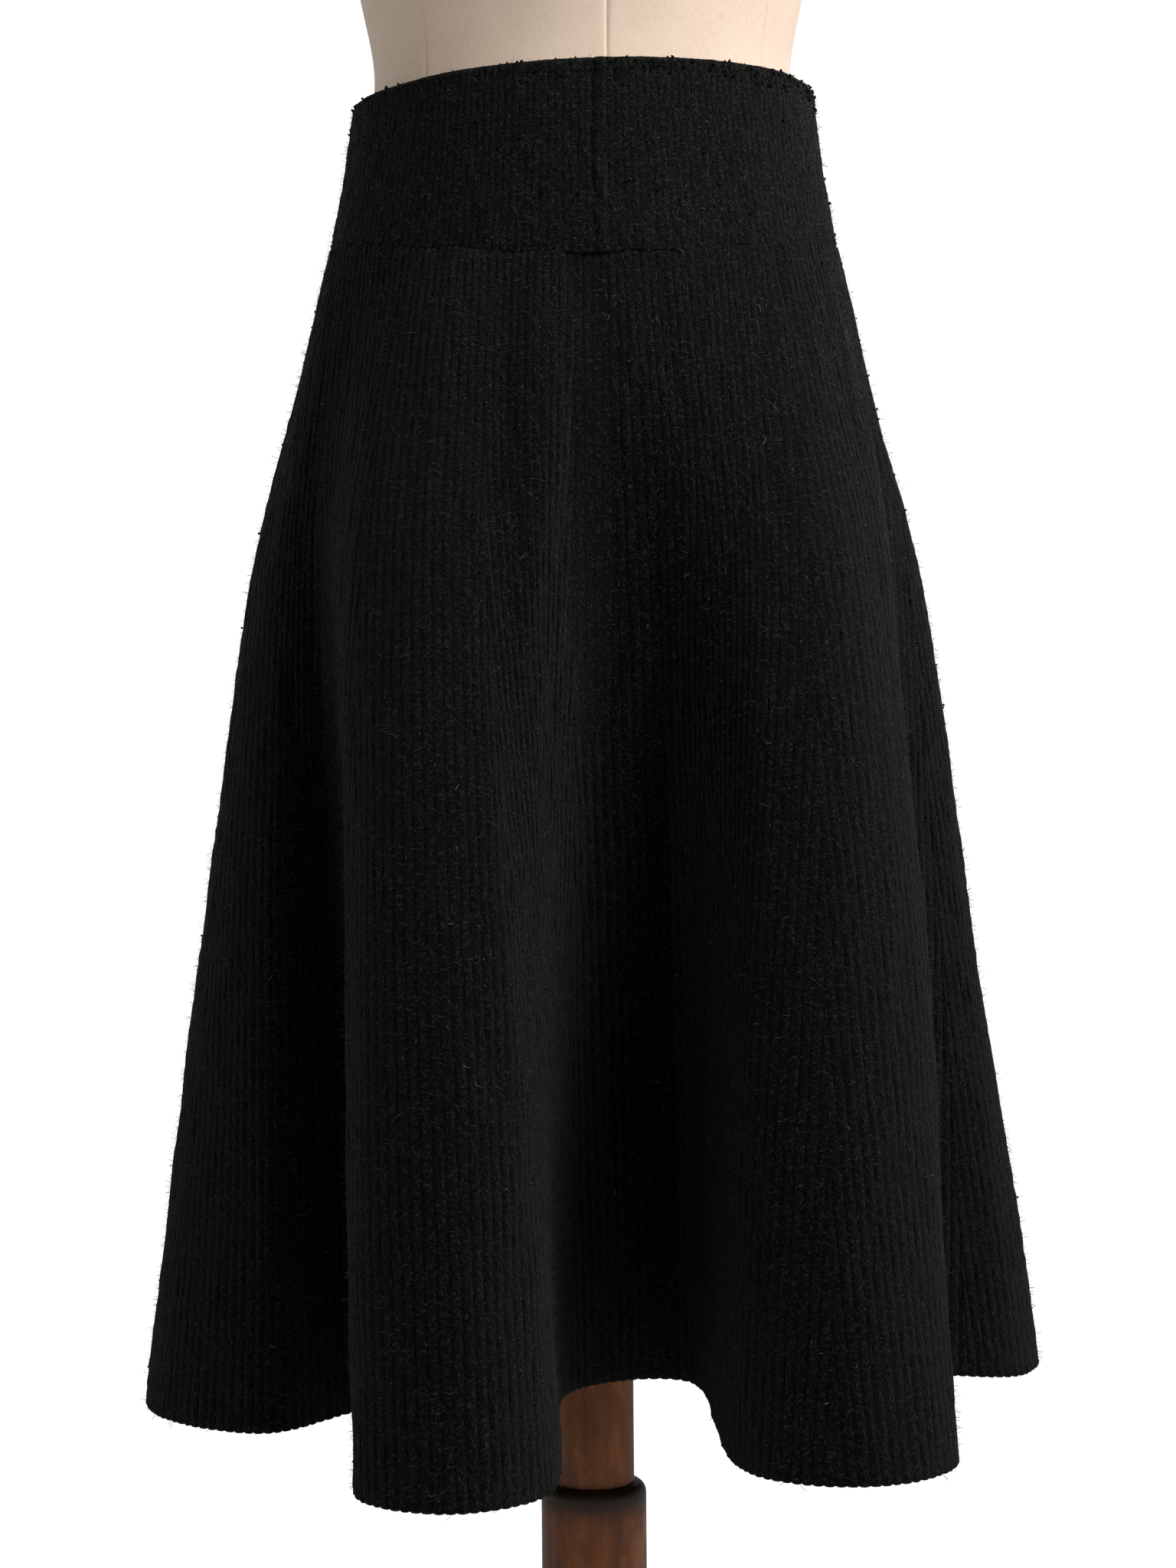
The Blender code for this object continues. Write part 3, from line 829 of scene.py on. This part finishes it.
def ring_faces(count, rings):
    """A closed body's faces from its rings of points: the sides, the bottom and the top."""
    faces = []
    for r in range(rings - 1):
        for k in range(count):
            a, b = r * count + k, r * count + (k + 1) % count
            faces.append((a, b, b + count, a + count))
    faces.append(tuple(reversed(range(count))))
    faces.append(tuple(range((rings - 1) * count, rings * count)))
    return faces


def form_torso(material):
    seams = np.radians(np.array(FORM_SEAMS))
    bearing = form_bearings(seams)
    count = len(bearing)
    bottom, top = FORM_SECTIONS[0].height, FORM_SECTIONS[-1].height
    heights = np.union1d(np.linspace(bottom, top, FORM_ROWS), [bottom + k for k in FORM_EDGE_ROWS])
    points = []
    for height in heights:
        points.extend(np.column_stack([form_ring(bearing, seams, height), np.full(count, height)]))
    faces = ring_faces(count, len(heights))
    turns = np.append(bearing, bearing[0] + 2 * math.pi) * FORM_RADIUS
    corners = []
    for low, high in zip(heights, heights[1:]):
        for left, right in zip(turns, turns[1:]):
            corners += [(left, low), (right, low), (right, high), (left, high)]
    for ring in faces[-2:]:
        corners += [(points[k][0], points[k][1]) for k in ring]
    return mesh_piece("linen_torso", points, faces, material, corners, 50.0)


def turned(name, profile, material, points_round=96):
    """A body turned round the stand's axis, from pairs of radius and height."""
    turn = np.linspace(0.0, 2 * math.pi, points_round, endpoint=False)
    points = []
    for radius, height in profile:
        plan = np.stack([np.cos(turn), np.sin(turn)], axis=1) * radius + MIDDLE
        points.extend(np.column_stack([plan, np.full(points_round, height)]))
    return mesh_piece(name, points, ring_faces(points_round, len(profile)), material, None, 40.0)


def rounded(radius, height, edge, steps=10, rising=True):
    """The quarter round at an upper edge, or at a lower one where rising is false."""
    pairs = []
    for k in range(steps + 1):
        turn = math.pi / 2 * k / steps
        if rising:
            pairs.append((radius - edge + edge * math.cos(turn), height - edge + edge * math.sin(turn)))
        else:
            pairs.append((radius - edge + edge * math.sin(turn), height + edge - edge * math.cos(turn)))
    return pairs


# Hair, pills and lint on the knit

PILLED_ABOVE = 0.82


def scattered(pieces, count, seed, crowded_above=math.inf, crowding=3.0):
    """Seeded random places on the outer side of the knit, with the cloth's normal at each."""
    rng = np.random.default_rng(seed)
    areas, centres, normals = [], [], []
    for piece in pieces:
        faces = piece.data.polygons
        for kind, size, found in (("area", 1, areas), ("center", 3, centres), ("normal", 3, normals)):
            values = np.zeros(len(faces) * size)
            faces.foreach_get(kind, values)
            found.append(values.reshape(-1, size))
    area = np.vstack(areas).ravel()
    centre = np.vstack(centres)
    normal = np.vstack(normals)
    facing = ((centre[:, :2] - MIDDLE) * normal[:, :2]).sum(axis=1)
    weight = np.where(area < LARGEST_FACE, area, 0.0)
    weight = weight * (np.abs(normal[:, 2]) < 0.8) * (facing > 0)
    weight = weight * np.where(centre[:, 2] > crowded_above, crowding, 1.0)
    chosen = rng.choice(len(area), size=count, p=weight / weight.sum())
    return centre[chosen], normal[chosen], rng


def fibres(name, pieces, count, seed, length, width, lift, material):
    """Loose hairs as thin bent slivers that stand a little off the knit, joined in one mesh."""
    places, normals, rng = scattered(pieces, count, seed)
    side = rng.normal(size=(count, 3))
    side -= (side * normals).sum(axis=1, keepdims=True) * normals
    side /= np.linalg.norm(side, axis=1, keepdims=True)
    cross = np.cross(normals, side)
    long = rng.uniform(length[0], length[1], count)[:, None]
    rise = rng.uniform(lift[0], lift[1], count)[:, None]
    bend = rng.uniform(-0.35, 0.35, count)[:, None]
    half = rng.uniform(0.6, 1.0, count)[:, None] * width / 2
    start = places + normals * 0.00005
    middle = start + side * long * 0.5 + normals * rise * 0.8 + cross * bend * long
    end = start + side * long + normals * rise
    wide = cross * half
    points = np.stack([start - wide, start + wide, middle - wide, middle + wide, end], axis=1).reshape(-1, 3)
    faces = []
    for k in range(0, 5 * count, 5):
        faces += [(k, k + 1, k + 3, k + 2), (k + 2, k + 3, k + 4)]
    return mesh_piece(name, points, faces, material)


def pills(name, pieces, count, seed, size, material, crowded_above=PILLED_ABOVE, crowding=3.0):
    """Small uneven balls that sit on the knit, more of them above a height, joined in one mesh."""
    places, normals, rng = scattered(pieces, count, seed, crowded_above, crowding)
    golden = (1 + math.sqrt(5)) / 2
    corners = np.array(
        [(-1, golden, 0), (1, golden, 0), (-1, -golden, 0), (1, -golden, 0)]
        + [(0, -1, golden), (0, 1, golden), (0, -1, -golden), (0, 1, -golden)]
        + [(golden, 0, -1), (golden, 0, 1), (-golden, 0, -1), (-golden, 0, 1)]
    )
    corners = corners / np.linalg.norm(corners[0])
    ball = [(0, 11, 5), (0, 5, 1), (0, 1, 7), (0, 7, 10), (0, 10, 11), (1, 5, 9), (5, 11, 4), (11, 10, 2)]
    ball += [(10, 7, 6), (7, 1, 8), (3, 9, 4), (3, 4, 2), (3, 2, 6), (3, 6, 8), (3, 8, 9), (4, 9, 5)]
    ball += [(2, 4, 11), (6, 2, 10), (8, 6, 7), (9, 8, 1)]
    points, faces = [], []
    for k in range(count):
        radius = size[0] + (size[1] - size[0]) * rng.random() ** 2
        shape = corners * radius * rng.uniform(0.6, 1.25, (len(corners), 1))
        start = len(points)
        points.extend(shape + places[k] + normals[k] * radius * 0.8)
        faces.extend((a + start, b + start, c + start) for a, b, c in ball)
    return mesh_piece(name, points, faces, material)


# Build


def row_drops(rows, rims_at_start, rims_at_end):
    """Shares of the way down, closer together at the edges, with the rows that turn in at an open edge."""
    inner = np.linspace(0.0, 1.0, rows)
    edge = [0.0] if rims_at_start else [0.0, SEAM_ROW]
    drops = [(0.0, rim) for rim in rims_at_start]
    drops += [(d, 0.0) for d in sorted({*edge, *inner.tolist()})]
    drops += [(1.0, rim) for rim in rims_at_end]
    return drops


knit = knit_material("felted_rib_knit", KNIT_GROOVE_SHADE, BODY_LIGHT, BODY_PALE, BODY_STITCHES)
band_knit = knit_material("felted_band_knit", KNIT_GROOVE_SHADE, BAND_LIGHT, BAND_PALE, BAND_STITCHES)
linen = linen_material()
wood = wood_material()
hair_material = plain_material("hair", (0.011, 0.011, 0.0102), 0.9)
pale_hair_material = plain_material("pale_hair", (0.045, 0.045, 0.043), 0.9)
pill_material = plain_material("pill", (0.0060, 0.0060, 0.0057), 0.95)
lint_material = plain_material("lint", (0.17, 0.165, 0.155), 0.9)
thread_material = plain_material("thread", (0.16, 0.155, 0.145), 0.9)

quarter = GORES // 4
body_rows = row_drops(BODY_ROWS, (), RIMS)
band_rows = row_drops(BAND_ROWS, tuple(reversed(RIMS)), ())
front_gores = range(quarter, 3 * quarter)
back_gores = range(3 * quarter, 5 * quarter)
band_gores = range(2 * quarter, 6 * quarter)
knit_front = knit_wall("knit_front", body_outline, SECTIONS, body_rows, front_gores, body_shape, knit)
knit_back = knit_wall("knit_back", body_outline, SECTIONS, body_rows, back_gores, body_shape, knit)
knit_waistband = knit_wall(
    "knit_waistband",
    band_outline,
    BAND_SECTIONS,
    band_rows,
    band_gores,
    band_shape,
    band_knit,
    BAND_SEAM_SHIFT,
    -BAND_OVERLAP,
)
cloth = [knit_front, knit_back, knit_waistband]

# The numbers are the count, the seed, and the lengths, width and lifts of hairs or the radii of balls
hair = fibres("knit_hair", cloth, 30000, 21, (0.0015, 0.0055), 0.00026, (0.0008, 0.0034), hair_material)
pale_hair = fibres(
    "knit_pale_hair", cloth, 9000, 25, (0.0008, 0.0024), 0.00026, (0.0002, 0.0012), pale_hair_material
)
balls = pills("knit_pills", cloth, 3400, 22, (0.00022, 0.00085), pill_material)
specks = pills("knit_lint_specks", cloth, 700, 23, (0.00012, 0.00034), lint_material)
threads = fibres(
    "knit_lint_threads", cloth, 240, 24, (0.002, 0.0055), 0.00020, (0.0002, 0.0009), thread_material
)
tufts = pills(
    "knit_edge_tufts", [knit_waistband], 700, 26, (0.0004, 0.0011), knit, TOP_FRONT - 0.006, 40.0
)

linen_torso = form_torso(linen)
neck = FORM_SECTIONS[-1]
cap_low = neck.height + SEAM_GAP
cap_side = [(neck.half_front, cap_low)]
wood_cap = turned("wood_cap", [*cap_side, *rounded(neck.half_front, cap_low + CAP_HEIGHT, CAP_EDGE)], wood)
wood_base = turned(
    "wood_base",
    [*rounded(BASE_RADIUS, 0.0, BASE_LOWER_EDGE, 4, False), *rounded(BASE_RADIUS, BASE_HEIGHT, BASE_EDGE)],
    wood,
    128,
)
column_low = BASE_HEIGHT + SEAM_GAP
column_side = [(COLUMN_RADIUS, column_low + COLUMN_SIDE * k / 24) for k in range(24)]
wood_column = turned("wood_column", [*column_side, *rounded(COLUMN_RADIUS, COLUMN_TOP, COLUMN_EDGE)], wood)
shaft_low = COLUMN_TOP + SEAM_GAP
shaft_high = FORM_SECTIONS[0].height - SEAM_GAP
shaft_side = [(SHAFT_RADIUS, shaft_low + (shaft_high - shaft_low) * k / 40) for k in range(41)]
wood_shaft = turned("wood_shaft", shaft_side, wood)

for piece, node, slot in (
    (knit_front, "skirt_front", "rib_knit"),
    (knit_back, "skirt_back", "rib_knit"),
    (knit_waistband, "waistband", "rib_knit"),
    (linen_torso, "form_torso", "linen"),
    (wood_cap, "form_cap", "wood"),
    (wood_base, "stand_base", "wood"),
    (wood_column, "stand_column", "wood"),
    (wood_shaft, "stand_shaft", "wood"),
):
    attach(piece, "root")
    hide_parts(node)
for piece in (hair, pale_hair, balls, specks, threads, tufts):
    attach(piece, "root")

# Floor, light and camera


def pale_floor():
    mesh = bpy.data.meshes.new("floor")
    turns = np.linspace(0.0, 2 * math.pi, 96, endpoint=False)
    rim = [(FLOOR_RADIUS * math.cos(turn), FLOOR_RADIUS * math.sin(turn), 0.0) for turn in turns]
    mesh.from_pydata(rim, [], [tuple(range(len(rim)))])
    mesh.materials.append(floor_material())
    floor = bpy.data.objects.new("floor", mesh)
    bpy.context.scene.collection.objects.link(floor)
    return floor


def soft_light(name, place_at, target, size, power):
    """A square lamp that faces its target."""
    light = bpy.data.lights.new(name, "AREA")
    light.shape = "RECTANGLE"
    light.size = light.size_y = size
    light.energy = power
    lamp = bpy.data.objects.new(name, light)
    lamp.location = place_at
    direction = np.array(target) - np.array(place_at)
    flat = math.hypot(direction[0], direction[1])
    tilt = math.pi / 2 + math.atan2(direction[2], flat)
    lamp.rotation_euler = (tilt, 0.0, math.atan2(-direction[0], direction[1]))
    bpy.context.scene.collection.objects.link(lamp)


def studio_world():
    """A white backdrop to the camera, which lights the object less than it shows."""
    world = bpy.data.worlds.new("studio")
    world.use_nodes = True
    tree = world.node_tree
    seen = tree.nodes["Background"]
    seen.inputs["Color"].default_value = (1.0, 1.0, 1.0, 1.0)
    seen.inputs["Strength"].default_value = BACKDROP
    ambient = tree.nodes.new("ShaderNodeBackground")
    ambient.inputs["Color"].default_value = (1.0, 1.0, 1.0, 1.0)
    ambient.inputs["Strength"].default_value = AMBIENT
    path = tree.nodes.new("ShaderNodeLightPath")
    choose = tree.nodes.new("ShaderNodeMixShader")
    tree.links.new(path.outputs["Is Camera Ray"], choose.inputs[0])
    tree.links.new(ambient.outputs[0], choose.inputs[1])
    tree.links.new(seen.outputs[0], choose.inputs[2])
    tree.links.new(choose.outputs[0], tree.nodes["World Output"].inputs["Surface"])
    return world


def photo_camera():
    camera = bpy.data.objects.new("camera", bpy.data.cameras.new("camera"))
    camera.location = (MIDDLE[0], MIDDLE[1] - CAMERA_DISTANCE, CAMERA_HEIGHT)
    camera.rotation_euler = (math.radians(90), math.radians(CAMERA_TILT), 0.0)
    camera.data.sensor_width = SENSOR
    camera.data.sensor_fit = "AUTO"
    camera.data.lens = FOCAL_PIXELS / PHOTO_HEIGHT * SENSOR
    bpy.context.scene.collection.objects.link(camera)
    return camera


pale_floor()
for light in LIGHTS:
    soft_light(*light)
bpy.context.scene.world = studio_world()
look = bpy.context.scene.view_settings
look.view_transform = "Standard"
look.use_curve_mapping = True
look.curve_mapping.black_level = (BLACK_LEVEL, BLACK_LEVEL, BLACK_LEVEL)
look.curve_mapping.update()
bpy.context.scene.camera = photo_camera()
